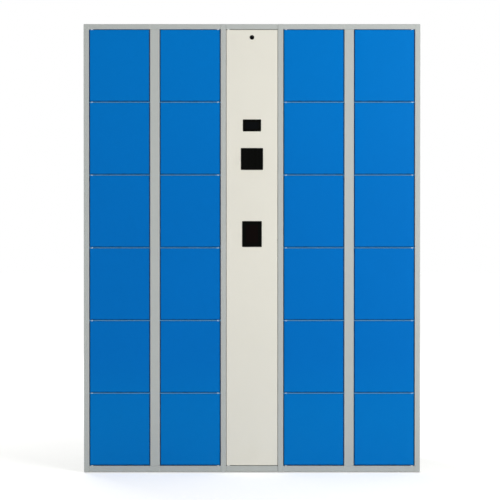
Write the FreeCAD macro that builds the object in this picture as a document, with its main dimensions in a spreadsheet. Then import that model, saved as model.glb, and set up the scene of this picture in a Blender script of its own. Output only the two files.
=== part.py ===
"""Smart locker: two twelve-door steel cabinets joined by a narrow control column.

Frame: X runs to the right, Y from the front to the back, Z up. The origin lies on the floor, under the
middle of the locker. Every piece of a cabinet is drawn about that cabinet's own middle line, with y = 0
on the front face and z = 0 on the floor, and its placement carries it to its place.
"""
import FreeCAD
import Part
import os
import re

import Sketcher
from FreeCAD import Vector

ROWS = 6
SHELF_LEVELS = ROWS - 1
VENT_COUNT = 9
RELAY_COUNT = 7
CLAMP_COUNT = 12
CAPACITOR_COUNT = 3
SUPPLY_SLOTS = 9
SUPPLY_RIBS = 8
DUCT_SLOTS = 20

# Just under half the thickness, so that the nose is almost a full round
NOSE_SHARE = 0.49
# A hexagon's corner radius over its width across flats
HEX_CORNER = 3 ** -0.5

# Driving sizes in millimetres: alias, value, what it measures
SIZES = (
    ("depth", "460", "front face to back face"),
    ("foot_height", "3", "foot that shows under the base"),
    ("base_rail", "24", "height of the base deck"),
    ("top_rail", "21", "height of the top deck"),
    ("door_pitch", "292", "one door row with its gap"),
    ("opening_width", "245", "door opening between post and lock bar"),
    ("hinge_post", "21.5", "front width of a hinge post"),
    ("post_margin", "2", "post depth beyond the door ledge"),
    ("lock_bar", "38", "front width of the lock channel"),
    ("land_width", "18", "ledge behind a door's free edge"),
    ("stop_gap", "3", "closed door to its ledge"),
    ("channel_depth", "74", "ledge to the back of the lock channel"),
    ("control_width", "208", "space between the two cabinets"),
    ("module_gap", "0.6", "seam between control column and cabinet"),
    ("sheet", "1", "cabinet sheet"),
    ("bend_radius", "2", "outside of a folded edge"),
    ("back_recess", "12", "depth of the folded edge round a back panel"),
    ("door_sheet", "1", "door skin"),
    ("door_depth", "18", "folded edge of a door"),
    ("door_gap", "2.5", "door to its opening at the sides"),
    ("head_gap", "2", "door to the line between two rows"),
    ("door_recess", "1", "door face behind the front face"),
    ("door_lip", "12", "return lip round the back of a door"),
    ("pin_inset", "11", "hinge axis from the opening's edge"),
    ("pin_set_back", "6", "hinge axis behind the door face"),
    ("pin_diameter", "5", "hinge pin"),
    ("pin_reach", "8", "hinge pin inside a door"),
    ("bush_wall", "1.5", "wall of a hinge bush"),
    ("bush_rim", "1", "flange of a hinge bush beyond its barrel"),
    ("bush_barrel", "3", "barrel of a hinge bush"),
    ("bush_play", "0.1", "door above its hinge bush"),
    ("running_clearance", "0.05", "hinge bush in a door, on the radius"),
    ("bar_thickness", "2", "doubled front edge of a shelf"),
    ("bar_set_back", "1", "shelf edge behind the front face"),
    ("bar_lip", "18", "stop lip under a shelf edge"),
    ("lip_relief", "30", "stop lip clear of the hinge side"),
    ("tray_thickness", "0.8", "shelf sheet"),
    ("strike_thickness", "2.5", "strike blade"),
    ("strike_height", "22", "strike blade"),
    ("strike_reach", "24", "strike blade behind its foot"),
    ("strike_foot", "2", "foot of a strike"),
    ("strike_foot_width", "10", "foot of a strike"),
    ("strike_foot_height", "44", "foot of a strike"),
    ("strike_eye", "9", "eye in the strike blade for the catch"),
    ("slot_clearance", "4", "strike blade in its slot, each side"),
    ("lock_height", "72", "lock housing"),
    ("lock_depth", "56", "lock housing"),
    ("lock_bevel", "12", "rear corners of a lock housing"),
    ("mouth_depth", "31", "mouth of a lock"),
    ("service_gap", "1.5", "service door to the posts beside it"),
    ("service_pin_inset", "8", "service hinge axis from the door's edge"),
    ("service_pin_set_back", "5", "service hinge axis behind the door face"),
    ("camera_diameter", "18", "camera window rim"),
    ("camera_drop", "30.5", "camera below the service door's top edge"),
    ("camera_barrel", "14", "camera barrel"),
    ("camera_length", "24", "camera barrel"),
    ("lens_diameter", "11", "camera lens"),
    ("lens_length", "4", "camera lens"),
    ("lens_round", "1.5", "edge of the camera lens"),
    ("display_width", "73", "display bezel"),
    ("display_height", "48", "display bezel"),
    ("display_drop", "383", "display below the service door's top edge"),
    ("keypad_width", "89", "keypad bezel"),
    ("keypad_height", "88", "keypad bezel"),
    ("keypad_drop", "517.5", "keypad below the service door's top edge"),
    ("scanner_width", "79", "scanner bezel"),
    ("scanner_height", "104", "scanner bezel"),
    ("scanner_drop", "818.5", "scanner below the service door's top edge"),
    ("bezel_lap", "4", "bezel over the cut-out's edge"),
    ("bezel_rim", "5", "bezel round its glass"),
    ("bezel_corner", "3", "bezel corners"),
    ("device_depth", "20", "device housing behind the service door"),
    ("glass_thickness", "2", "device glass"),
    ("glass_recess", "0.4", "device glass behind its bezel"),
    ("fit_clearance", "0.2", "device in its cut-out, glass in its bezel"),
    ("board_width", "150", "control board"),
    ("board_height", "210", "control board"),
    ("board_thickness", "2", "control board"),
    ("board_level", "1120", "control board's middle above the floor"),
    ("board_corner", "8", "board edge to the middle of a stand-off"),
    ("standoff_height", "10", "stand-off under the control board"),
    ("standoff_diameter", "7", "stand-off under the control board"),
    ("relay_depth", "15", "relays on the control board"),
    ("relay_width", "19", "relays on the control board"),
    ("relay_pitch", "24", "relays on the control board"),
    ("processor_width", "26", "processor on the control board"),
    ("processor_depth", "3", "processor on the control board"),
    ("capacitor_diameter", "12", "capacitors on the control board"),
    ("capacitor_depth", "20", "capacitors on the control board"),
    ("capacitor_pitch", "18", "capacitors on the control board"),
    ("terminal_width", "10", "terminal strip"),
    ("terminal_depth", "12", "terminal strip"),
    ("clamp_pitch", "14", "clamp to clamp on a terminal strip"),
    ("clamp_depth", "3", "recess of a clamp"),
    ("supply_width", "98", "power supply"),
    ("supply_height", "160", "power supply"),
    ("supply_depth", "42", "power supply"),
    ("supply_level", "820", "power supply's middle above the floor"),
    ("supply_flange", "14", "fixing flange of the power supply"),
    ("supply_foot", "24", "terminal strip at the foot of the power supply"),
    ("supply_slot_width", "70", "vent slot of the power supply"),
    ("supply_slot_height", "4", "vent slot of the power supply"),
    ("supply_slot_pitch", "12", "vent slot to vent slot of the power supply"),
    ("supply_slot_depth", "2", "vent slot of the power supply"),
    ("rib_thickness", "1.5", "rib between two terminals"),
    ("rib_depth", "6", "rib between two terminals"),
    ("duct_width", "22", "cable duct"),
    ("duct_depth", "36", "cable duct"),
    ("duct_wall", "1.5", "cable duct"),
    ("duct_margin", "4", "cable duct to the wall beside it"),
    ("duct_slot", "7", "finger slot of the cable duct"),
    ("duct_pitch", "24", "finger slot to finger slot"),
    ("grommet_bore", "22", "cable entry"),
    ("grommet_hole", "32", "hole that holds the grommet"),
    ("grommet_rim", "3.5", "grommet lip beyond its hole"),
    ("grommet_lip", "3", "grommet lip's thickness"),
    ("grommet_level", "150", "cable entry above the floor"),
    ("vent_width", "120", "vent slot in the control column's back"),
    ("vent_height", "5", "vent slot"),
    ("vent_pitch", "14", "vent slot to vent slot"),
    ("vent_level", "1500", "lowest vent slot above the floor"),
    ("wall_hole", "9", "wall fixing hole"),
    ("wall_hole_spacing", "300", "wall fixing holes of a cabinet"),
    ("wall_hole_drop", "150", "wall fixing holes below the top deck"),
    ("cable_hole", "30", "cable way between lock channel and top deck"),
    ("foot_diameter", "42", "levelling foot"),
    ("foot_top", "24", "levelling foot under the base deck"),
    ("foot_inset", "50", "levelling foot from the cabinet's outside"),
    ("stud_diameter", "8", "stud of a levelling foot"),
    ("stud_length", "14", "stud of a levelling foot"),
    ("bolt_diameter", "8", "joining bolt"),
    ("bolt_flats", "13", "joining bolt head and nut across flats"),
    ("bolt_head", "5.3", "joining bolt head"),
    ("bolt_nut", "6.5", "joining bolt nut"),
    ("bolt_tail", "3", "joining bolt beyond its nut"),
    ("bolt_inset", "70", "joining bolts from the front and back"),
    ("bolt_clearance", "0.2", "joining bolts and studs in their holes, on the radius"),
)

# Places worked out from the driving sizes: alias, formula
LAYOUT = (
    ("cabinet_half", "hinge_post + opening_width + lock_bar / 2"),
    ("cabinet_centre", "control_width / 2 + cabinet_half"),
    ("wall_inside", "cabinet_half - sheet"),
    ("front", "-depth / 2"),
    ("base_top", "foot_height + base_rail"),
    ("doors_height", f"{ROWS} * door_pitch"),
    ("top_start", "base_top + doors_height"),
    ("total_height", "top_start + top_rail"),
    ("opening_edge", "cabinet_half - hinge_post"),
    ("ledge", "door_recess + door_depth + stop_gap"),
    ("post_depth", "ledge + post_margin"),
    ("land_half", "lock_bar / 2 + land_width"),
    ("channel_back", "ledge + channel_depth"),
    ("back_face", "depth - back_recess"),
    ("pin_x", "opening_edge - pin_inset"),
    ("pin_y", "door_recess + pin_set_back"),
    ("bush_diameter", "pin_diameter + 2 * bush_wall"),
    ("hinge_hole", "bush_diameter + 2 * running_clearance"),
    ("strike_x", "lock_bar / 2 + land_width / 2"),
    ("strike_start", "door_recess + door_depth"),
    ("lock_thickness", "2 * (land_half - sheet - strike_x)"),
    ("slot_half", "strike_thickness / 2 + slot_clearance"),
    ("mouth_half", "strike_height / 2 + slot_clearance"),
    ("control_half", "control_width / 2 - module_gap"),
    ("service_half", "control_width / 2 - service_gap"),
    ("service_top", "top_start - head_gap"),
    ("service_pin_x", "service_pin_inset - service_half"),
    ("service_pin_y", "door_recess + service_pin_set_back"),
    ("service_strike_x", "control_width / 2 - lock_thickness / 2"),
    ("service_middle", "base_top + doors_height / 2"),
    ("bolt_hole", "bolt_diameter + 2 * bolt_clearance"),
    ("stud_hole", "stud_diameter + 2 * bolt_clearance"),
    ("foot_x", "cabinet_half - foot_inset"),
    ("duct_x", "control_width / 2 - duct_margin - duct_width / 2"),
    ("duct_start", "supply_level - supply_height / 2"),
    ("duct_length", "board_level + board_height / 2 - duct_start"),
    ("top_bolts", "top_start + top_rail / 2"),
    ("base_bolts", "foot_height + base_rail / 2"),
)

LEFT = "-cabinet_centre"
RIGHT = "cabinet_centre"

doc = FreeCAD.newDocument("SmartLocker")
sizes = doc.addObject("Spreadsheet::Sheet", "Sizes")
layout = doc.addObject("Spreadsheet::Sheet", "Layout")
SHEET_OF = {row[0]: "Sizes" for row in SIZES}
SHEET_OF.update({row[0]: "Layout" for row in LAYOUT})
nodes = {}


def linked(expression):
    """Spell every alias in an expression with the sheet that holds it."""
    def full_name(match):
        return f"{SHEET_OF[match.group()]}.{match.group()}"
    return re.sub(r"[a-z_]{2,}", full_name, expression)


def number(expression):
    """The present value of an expression."""
    return float(sizes.evalExpression(linked(expression)))


def fill_sheets():
    """Write the driving sizes and the places that follow from them."""
    for row, (alias, value, note) in enumerate(SIZES, start=1):
        sizes.set(f"A{row}", note)
        sizes.set(f"B{row}", value)
        sizes.setAlias(f"B{row}", alias)
    for row, (alias, formula) in enumerate(LAYOUT, start=1):
        layout.set(f"B{row}", "=" + linked(formula))
        layout.setAlias(f"B{row}", alias)
    doc.recompute()


def origin(body, role):
    """One of a body's own origin planes or axes."""
    return next(item for item in body.Origin.OriginFeatures if item.Role == role)


def new_body(label, x="0", z="0"):
    """An empty body whose frame stands on the front face, at x and z."""
    body = doc.addObject("PartDesign::Body", label)
    body.Label = label
    body.setExpression("Placement.Base.x", linked(x))
    body.setExpression("Placement.Base.y", linked("front"))
    body.setExpression("Placement.Base.z", linked(z))
    return body


def new_sketch(body, plane, level="0", shift=("0", "0")):
    """A sketch on an origin plane, level along the plane's normal, its zero shifted in the plane."""
    sketch = body.newObject("Sketcher::SketchObject", f"{body.Label}_sketch")
    sketch.AttachmentSupport = (origin(body, plane), [""])
    sketch.MapMode = "FlatFace"
    for axis, place in zip("xyz", (*shift, level)):
        sketch.setExpression(f"AttachmentOffset.Base.{axis}", linked(place))
    return sketch


def plan_sketch(body, z="0", shift=("0", "0")):
    """A sketch seen from above: x to the right, y to the back."""
    return new_sketch(body, "XY_Plane", z, shift)


def front_sketch(body, y="0", shift=("0", "0")):
    """A sketch seen from the front: x to the right, z up; the plane faces forwards."""
    return new_sketch(body, "XZ_Plane", f"-({y})", shift)


def side_sketch(body, x="0", shift=("0", "0")):
    """A sketch seen from the right: y to the back, z up."""
    return new_sketch(body, "YZ_Plane", x, shift)


def fix(sketch, kind, geometry, point, expression):
    """Tie one coordinate of a point to an expression."""
    value = number(expression)
    index = sketch.addConstraint(Sketcher.Constraint(kind, -1, 1, geometry, point, value))
    sketch.setExpression(f"Constraints[{index}]", linked(expression))


def add_outline(sketch, corners):
    """A closed outline of straight lines through corners given as pairs of expressions."""
    places = [Vector(number(across), number(up), 0) for across, up in corners]
    first = sketch.GeometryCount
    count = len(corners)
    for index in range(count):
        line = Part.LineSegment(places[index], places[(index + 1) % count])
        sketch.addGeometry(line, False)
    for index, (across, up) in enumerate(corners):
        following = first + (index + 1) % count
        sketch.addConstraint(Sketcher.Constraint("Coincident", first + index, 2, following, 1))
        fix(sketch, "DistanceX", first + index, 1, across)
        fix(sketch, "DistanceY", first + index, 1, up)
    return sketch


def add_rectangle(sketch, left, right, bottom, top):
    """A closed rectangle between four expressions."""
    return add_outline(sketch, ((left, bottom), (right, bottom), (right, top), (left, top)))


def add_centred(sketch, across, up, width, height):
    """A closed rectangle about a middle point."""
    return add_rectangle(sketch, f"{across} - ({width}) / 2", f"{across} + ({width}) / 2",
                         f"{up} - ({height}) / 2", f"{up} + ({height}) / 2")


def add_circle(sketch, across, up, diameter):
    """A circle about a middle point."""
    circle = Part.Circle(Vector(number(across), number(up), 0), Vector(0, 0, 1), number(diameter) / 2)
    geometry = sketch.addGeometry(circle, False)
    fix(sketch, "DistanceX", geometry, 3, across)
    fix(sketch, "DistanceY", geometry, 3, up)
    index = sketch.addConstraint(Sketcher.Constraint("Diameter", geometry, number(diameter)))
    sketch.setExpression(f"Constraints[{index}]", linked(diameter))
    return sketch


def pad(sketch, length, backwards=False):
    """Add material along the sketch's normal, or against it."""
    body = sketch.getParentGeoFeatureGroup()
    feature = body.newObject("PartDesign::Pad", f"{body.Label}_pad")
    feature.Profile = sketch
    feature.setExpression("Length", linked(length))
    feature.Reversed = backwards
    return feature


def pocket(sketch, length, along=False):
    """Cut away material against the sketch's normal, or along it."""
    body = sketch.getParentGeoFeatureGroup()
    feature = body.newObject("PartDesign::Pocket", f"{body.Label}_pocket")
    feature.Profile = sketch
    feature.setExpression("Length", linked(length))
    feature.Reversed = along
    return feature


def through(sketch):
    """Cut right through the body to both sides of the sketch."""
    body = sketch.getParentGeoFeatureGroup()
    feature = body.newObject("PartDesign::Pocket", f"{body.Label}_through")
    feature.Profile = sketch
    feature.Type = "ThroughAll"
    feature.SideType = "Symmetric"
    return feature


def revolve(sketch, axis):
    """Turn a half section right round the sketch's own axis."""
    body = sketch.getParentGeoFeatureGroup()
    feature = body.newObject("PartDesign::Revolution", f"{body.Label}_turned")
    feature.Profile = sketch
    feature.ReferenceAxis = (sketch, [axis])
    feature.Angle = 360
    return feature


def round_edges(feature, radius, chosen):
    """Round the edges of the last feature that pass a test on their two ends."""
    doc.recompute()
    names = []
    for index, edge in enumerate(feature.Shape.Edges, start=1):
        ends = [vertex.Point for vertex in edge.Vertexes]
        if len(ends) == 2 and chosen(*ends):
            names.append(f"Edge{index}")
    body = feature.getParentGeoFeatureGroup()
    fillet = body.newObject("PartDesign::Fillet", f"{body.Label}_rounded")
    fillet.Base = (feature, names)
    fillet.setExpression("Radius", linked(radius))
    return fillet


def same(first, second):
    """Two coordinates that agree."""
    return abs(first - second) < 1e-6


def upright_front(start, end):
    """An upright edge on the front face."""
    return same(start.y, 0) and same(end.y, 0) and same(start.x, end.x)


def level_front(start, end):
    """A level edge on the front face."""
    return same(start.y, 0) and same(end.y, 0) and same(start.z, end.z)


def repeat(feature, *steps):
    """Repeat features of a body by patterns and mirrors, one after the other."""
    features = feature if isinstance(feature, list) else [feature]
    body = features[0].getParentGeoFeatureGroup()
    whole = body.newObject("PartDesign::MultiTransform", f"{body.Label}_repeated")
    whole.Originals = features
    whole.Transformations = [step(body) for step in steps]
    body.Tip = whole
    return whole


def row_of(axis, count, length):
    """A step for repeat: a row of copies along an axis."""
    def make(body):
        pattern = doc.addObject("PartDesign::LinearPattern", f"{body.Label}_row")
        pattern.Direction = (origin(body, axis), [""])
        pattern.Occurrences = count
        pattern.setExpression("Length", linked(length))
        return pattern
    return make


def mirrored(plane):
    """A step for repeat: a mirror image in an origin plane."""
    def make(body):
        mirror = doc.addObject("PartDesign::Mirrored", f"{body.Label}_mirror")
        mirror.MirrorPlane = (origin(body, plane), [""])
        return mirror
    return make


BOTH_COLUMNS = mirrored("YZ_Plane")
BOTH_CABINETS = row_of("X_Axis", 2, "2 * cabinet_centre")
SHELF_ROW = row_of("Z_Axis", SHELF_LEVELS, f"{SHELF_LEVELS - 1} * door_pitch")
DOOR_ROW = row_of("Z_Axis", ROWS, f"{ROWS - 1} * door_pitch")


def group(label, members):
    """One node of several separate solids."""
    compound = doc.addObject("Part::Compound", label)
    compound.Label = label
    compound.Links = members
    nodes[label] = compound


def single(body):
    """One node of one body."""
    nodes[body.Label] = body


def side_panel(label, centre, side, joined):
    """A cabinet side: flat wall sheet behind a folded box post, capped at the top."""
    wall = new_body(f"{label}_wall", centre)
    plan = plan_sketch(wall, "foot_height")
    add_rectangle(plan, f"{side} * wall_inside", f"{side} * cabinet_half", "post_depth", "depth")
    pad(plan, "total_height - foot_height")
    if joined:
        holes = side_sketch(wall)
        for y in ("bolt_inset", "depth - bolt_inset"):
            add_circle(holes, y, "top_bolts", "bolt_hole")
            add_circle(holes, y, "base_bolts", "bolt_hole")
        through(holes)

    post = new_body(f"{label}_post", centre)
    plan = plan_sketch(post, "foot_height")
    add_rectangle(plan, f"{side} * opening_edge", f"{side} * cabinet_half", "0", "post_depth")
    tube = pad(plan, "total_height - foot_height")
    round_edges(tube, "bend_radius", upright_front)
    hollow = plan_sketch(post, "foot_height")
    add_rectangle(hollow, f"{side} * (opening_edge + sheet)", f"{side} * wall_inside",
                  "sheet", "post_depth - sheet")
    pocket(hollow, "total_height - foot_height - sheet", along=True)
    group(label, [wall, post])


def lock_channel(label, centre):
    """The wide middle bar: a closed folded channel with a ledge and strike slots on both sides."""
    body = new_body(label, centre)
    plan = plan_sketch(body, "base_top")
    add_outline(plan, channel_corners("lock_bar / 2", "land_half", "0", "ledge", "channel_back"))
    tube = pad(plan, "doors_height")
    round_edges(tube, "bend_radius", upright_front)
    hollow = plan_sketch(body, "base_top")
    add_outline(hollow, channel_corners("lock_bar / 2 - sheet", "land_half - sheet", "sheet",
                                        "ledge + sheet", "channel_back - sheet"))
    pocket(hollow, "doors_height", along=True)
    slots = front_sketch(body, "ledge", ("0", "base_top + door_pitch / 2"))
    for side in (-1, 1):
        add_centred(slots, f"{side} * strike_x", "0", "2 * slot_half", "2 * mouth_half")
    slot = pocket(slots, "sheet")
    repeat(slot, DOOR_ROW)
    single(body)


def channel_corners(bar, land, front, step, back):
    """Corners of the lock channel's section: a narrow front bar that widens behind the doors."""
    return ((f"-({bar})", front), (bar, front), (bar, step), (land, step),
            (land, back), (f"-({land})", back), (f"-({land})", step), (f"-({bar})", step))


def partitions():
    """The upright sheets that part the columns behind the lock channels."""
    body = new_body("column_partitions", LEFT)
    plan = plan_sketch(body, "base_top")
    add_rectangle(plan, "-sheet / 2", "sheet / 2", "channel_back", "back_face")
    wall = pad(plan, "doors_height")
    repeat(wall, BOTH_CABINETS)
    single(body)


def deck_corners(edge, wall, front, notch, back):
    """Corners of a cabinet deck's plan, notched for the two hinge posts."""
    return ((f"-({edge})", front), (edge, front), (edge, notch), (wall, notch),
            (wall, back), (f"-({wall})", back), (f"-({wall})", notch), (f"-({edge})", notch))


def bolt_holes(body, level):
    """Holes in both ends of a deck for the bolts that join the modules."""
    holes = side_sketch(body)
    for y in ("bolt_inset", "depth - bolt_inset"):
        add_circle(holes, y, level, "bolt_hole")
    through(holes)


def cabinet_deck(label, centre, bottom, height):
    """A hollow deck across a cabinet, between its side walls."""
    body = new_body(label, centre)
    plan = plan_sketch(body, bottom)
    add_outline(plan, deck_corners("opening_edge", "wall_inside", "0", "post_depth", "depth"))
    block = pad(plan, height)
    round_edges(block, "bend_radius", level_front)
    hollow = plan_sketch(body, f"{bottom} + sheet")
    add_outline(hollow, deck_corners("opening_edge - sheet", "wall_inside - sheet", "sheet",
                                     "post_depth + sheet", "depth - sheet"))
    pocket(hollow, f"{height} - 2 * sheet", along=True)
    return body


def top_deck(label, centre):
    """The cabinet's roof, with hinge holes below and a cable way over the lock channel."""
    body = cabinet_deck(label, centre, "top_start", "top_rail")
    holes = plan_sketch(body, "top_start")
    for side in (-1, 1):
        add_circle(holes, f"{side} * pin_x", "pin_y", "pin_diameter")
    add_circle(holes, "0", "(ledge + channel_back) / 2", "cable_hole")
    pocket(holes, "sheet", along=True)
    bolt_holes(body, "top_bolts")
    single(body)


def base_deck(label, centre):
    """The cabinet's floor, with hinge holes above and holes for the feet below."""
    body = cabinet_deck(label, centre, "foot_height", "base_rail")
    holes = plan_sketch(body, "base_top")
    for side in (-1, 1):
        add_circle(holes, f"{side} * pin_x", "pin_y", "pin_diameter")
    pocket(holes, "sheet")
    studs = plan_sketch(body, "foot_height")
    for side in (-1, 1):
        for y in ("foot_inset", "depth - foot_inset"):
            add_circle(studs, f"{side} * foot_x", y, "stud_hole")
    pocket(studs, "sheet", along=True)
    bolt_holes(body, "base_bolts")
    single(body)


def back_pan(label, centre, half):
    """A back panel: a sheet with its four edges folded back."""
    body = new_body(label, centre)
    outside = front_sketch(body, "back_face")
    add_rectangle(outside, f"-{half}", half, "base_top", "top_start")
    pad(outside, "back_recess", backwards=True)
    inside = front_sketch(body, "depth")
    add_rectangle(inside, f"sheet - {half}", f"{half} - sheet", "base_top + sheet", "top_start - sheet")
    pocket(inside, "back_recess - sheet", along=True)
    return body


def cabinet_back(label, centre):
    """A cabinet's back panel with two wall fixing holes."""
    body = back_pan(label, centre, "wall_inside")
    holes = front_sketch(body, "back_face")
    for side in (-1, 1):
        add_circle(holes, f"{side} * wall_hole_spacing / 2", "top_start - wall_hole_drop", "wall_hole")
    pocket(holes, "sheet")
    single(body)


def shelves(label, centre):
    """The flat shelf sheets of a cabinet, cut round the posts and the lock channel."""
    body = new_body(label, centre, "base_top + door_pitch")
    plan = plan_sketch(body, "bar_thickness / 2 - tray_thickness")
    add_outline(plan, (("land_half", "ledge"), ("opening_edge", "ledge"), ("opening_edge", "post_depth"),
                       ("wall_inside", "post_depth"), ("wall_inside", "back_face"),
                       ("sheet / 2", "back_face"), ("sheet / 2", "channel_back"),
                       ("land_half", "channel_back")))
    tray = pad(plan, "tray_thickness")
    repeat(tray, SHELF_ROW, BOTH_COLUMNS)
    single(body)


def crossbars():
    """The doubled front edges of the shelves: hinge strip, rounded nose and stop lip."""
    body = new_body("door_crossbars", LEFT, "base_top + door_pitch")
    plan = plan_sketch(body, "-bar_thickness / 2")
    add_rectangle(plan, "lock_bar / 2", "opening_edge", "bar_set_back", "ledge")
    strip = pad(plan, "bar_thickness")
    nose = number("bar_set_back")

    def on_nose(start, end):
        return same(start.y, nose) and same(end.y, nose) and same(start.z, end.z)

    rounded = round_edges(strip, f"bar_thickness * {NOSE_SHARE}", on_nose)
    section = plan_sketch(body, "-bar_lip")
    add_rectangle(section, "lock_bar / 2", "opening_edge - lip_relief", "ledge - bar_thickness", "ledge")
    lip = pad(section, "bar_lip - bar_thickness / 2")
    hole = plan_sketch(body)
    add_circle(hole, "pin_x", "pin_y", "pin_diameter")
    pin_hole = through(hole)
    repeat([strip, rounded, lip, pin_hole], SHELF_ROW, BOTH_COLUMNS, BOTH_CABINETS)
    single(body)


def door_leaf(label, centre, level, side):
    """A folded door: skin with rounded edges, four folded sides, return lips and hinge holes."""
    body = new_body(label, centre, level)
    lock_edge = "lock_bar / 2 + door_gap"
    hinge_edge = "opening_edge - door_gap"
    bottom = "head_gap"
    top = "door_pitch - head_gap"
    fold_pan(body, (lock_edge, hinge_edge, bottom, top), side)
    hole = plan_sketch(body)
    add_circle(hole, f"{side} * pin_x", "pin_y", "hinge_hole")
    through(hole)
    return body


def fold_pan(body, edges, side=1):
    """A sheet pan: rounded front, folded sides and a return lip all round, open at the back."""
    near, far, bottom, top = edges

    def frame(sketch, inset):
        add_rectangle(sketch, f"{side} * ({near} + {inset})", f"{side} * ({far} - {inset})",
                      f"{bottom} + {inset}", f"{top} - {inset}")
        return sketch

    block = pad(frame(front_sketch(body, "door_recess"), "0"), "door_depth", backwards=True)
    face = number("door_recess")

    def folded(start, end):
        return same(start.y, face) and same(end.y, face)

    round_edges(block, "bend_radius", folded)
    pocket(frame(front_sketch(body, "door_recess + door_depth"), "door_sheet"),
           "door_depth - door_sheet", along=True)
    lips = front_sketch(body, "door_recess + door_depth - door_sheet")
    frame(lips, "door_sheet / 2")
    frame(lips, "door_lip")
    pad(lips, "door_sheet", backwards=True)


def strike(label, centre, level, blade_x, foot_x):
    """The hook plate of a door: a foot on the return lip and a blade with an eye for the catch."""
    body = new_body(label, centre, level)
    foot = front_sketch(body, "strike_start")
    add_centred(foot, foot_x, "0", "strike_foot_width", "strike_foot_height")
    pad(foot, "strike_foot", backwards=True)
    section = front_sketch(body, "strike_start + strike_foot")
    add_centred(section, blade_x, "0", "strike_thickness", "strike_height")
    pad(section, "strike_reach", backwards=True)
    eye = side_sketch(body)
    add_centred(eye, "strike_start + strike_foot + strike_reach - strike_eye", "0",
                "strike_eye", "strike_eye")
    through(eye)
    return body


def doors():
    """The doors, numbered along the rows from the top left."""
    for row in range(ROWS):
        level = f"base_top + {ROWS - 1 - row} * door_pitch"
        for column in range(4):
            label = f"door_{4 * row + column + 1:02d}"
            centre = LEFT if column < 2 else RIGHT
            side = -1 if column % 2 == 0 else 1
            leaf = door_leaf(f"{label}_leaf", centre, level, side)
            lip_middle = f"{side} * (lock_bar / 2 + door_gap + door_lip / 2)"
            hook = strike(f"{label}_strike", centre, f"{level} + door_pitch / 2",
                          f"{side} * strike_x", lip_middle)
            group(label, [leaf, hook])


def lock_housing(body, middle, level):
    """A lock: a bevelled housing with a mouth for the strike blade."""
    start = "ledge + sheet"
    end = f"{start} + lock_depth"
    low = f"{level} - lock_height / 2"
    high = f"{level} + lock_height / 2"
    profile = side_sketch(body, f"{middle} - lock_thickness / 2")
    add_outline(profile, ((start, low), (f"{end} - lock_bevel", low), (end, f"{low} + lock_bevel"),
                          (end, f"{high} - lock_bevel"), (f"{end} - lock_bevel", high), (start, high)))
    block = pad(profile, "lock_thickness")
    opening = front_sketch(body, start)
    add_centred(opening, middle, level, "2 * slot_half", "2 * mouth_half")
    mouth = pocket(opening, "mouth_depth")
    return [block, mouth]


def locks():
    """The electric locks: two at every row of each lock channel, one beside the service door."""
    body = new_body("door_locks", LEFT, "base_top")
    repeat(lock_housing(body, "strike_x", "door_pitch / 2"), DOOR_ROW, BOTH_COLUMNS, BOTH_CABINETS)
    service = new_body("service_lock")
    lock_housing(service, "service_strike_x", "service_middle")
    group("lock_units", [body, service])


def pin(body, x, y):
    """A plain hinge pin that reaches into the doors above and below it."""
    section = plan_sketch(body, "-(head_gap + pin_reach)")
    add_circle(section, x, y, "pin_diameter")
    return pad(section, "2 * (head_gap + pin_reach)")


def hinge_pins():
    """The hinge pins: at both ends of every column, in every shelf edge and two for the service door."""
    body = new_body("door_pins", LEFT, "base_top")
    rod = pin(body, "pin_x", "pin_y")
    levels = row_of("Z_Axis", ROWS + 1, "doors_height")
    repeat(rod, levels, BOTH_COLUMNS, BOTH_CABINETS)
    service = new_body("service_pins", z="base_top")
    rod = pin(service, "service_pin_x", "service_pin_y")
    repeat(rod, row_of("Z_Axis", 2, "doors_height"))
    group("hinge_pins", [body, service])


def bush(body, place, seat, upwards):
    """A flanged bush on a pin: the flange carries the door, the barrel turns in its hinge hole."""
    x, y, level = place
    way = 1 if upwards else -1
    rim_start = f"{level} + {way} * ({seat})"
    rim_end = f"{level} + {way} * (head_gap - bush_play)"
    end = f"{level} + {way} * (head_gap + bush_barrel)"
    rim = "bush_diameter / 2 + bush_rim"
    section = front_sketch(body, y, (x, "0"))
    add_outline(section, (("pin_diameter / 2", rim_start), (rim, rim_start), (rim, rim_end),
                          ("bush_diameter / 2", rim_end), ("bush_diameter / 2", end),
                          ("pin_diameter / 2", end)))
    return revolve(section, "V_Axis")


def hinge_bushes():
    """The nylon bushes: above and below every shelf edge, on the bases and under the tops."""
    shelf = new_body("shelf_bushes", LEFT, "base_top + door_pitch")
    upper = bush(shelf, ("pin_x", "pin_y", "0"), "bar_thickness / 2", upwards=True)
    repeat(upper, mirrored("XY_Plane"), SHELF_ROW, BOTH_COLUMNS, BOTH_CABINETS)
    base = new_body("base_bushes", LEFT, "base_top")
    repeat(bush(base, ("pin_x", "pin_y", "0"), "0", upwards=True), BOTH_COLUMNS, BOTH_CABINETS)
    top = new_body("top_bushes", LEFT, "top_start")
    repeat(bush(top, ("pin_x", "pin_y", "0"), "0", upwards=False), BOTH_COLUMNS, BOTH_CABINETS)
    lower = new_body("service_base_bush", z="base_top")
    bush(lower, ("service_pin_x", "service_pin_y", "0"), "0", upwards=True)
    higher = new_body("service_top_bush", z="top_start")
    bush(higher, ("service_pin_x", "service_pin_y", "0"), "0", upwards=False)
    group("hinge_bushes", [shelf, base, top, lower, higher])


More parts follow.
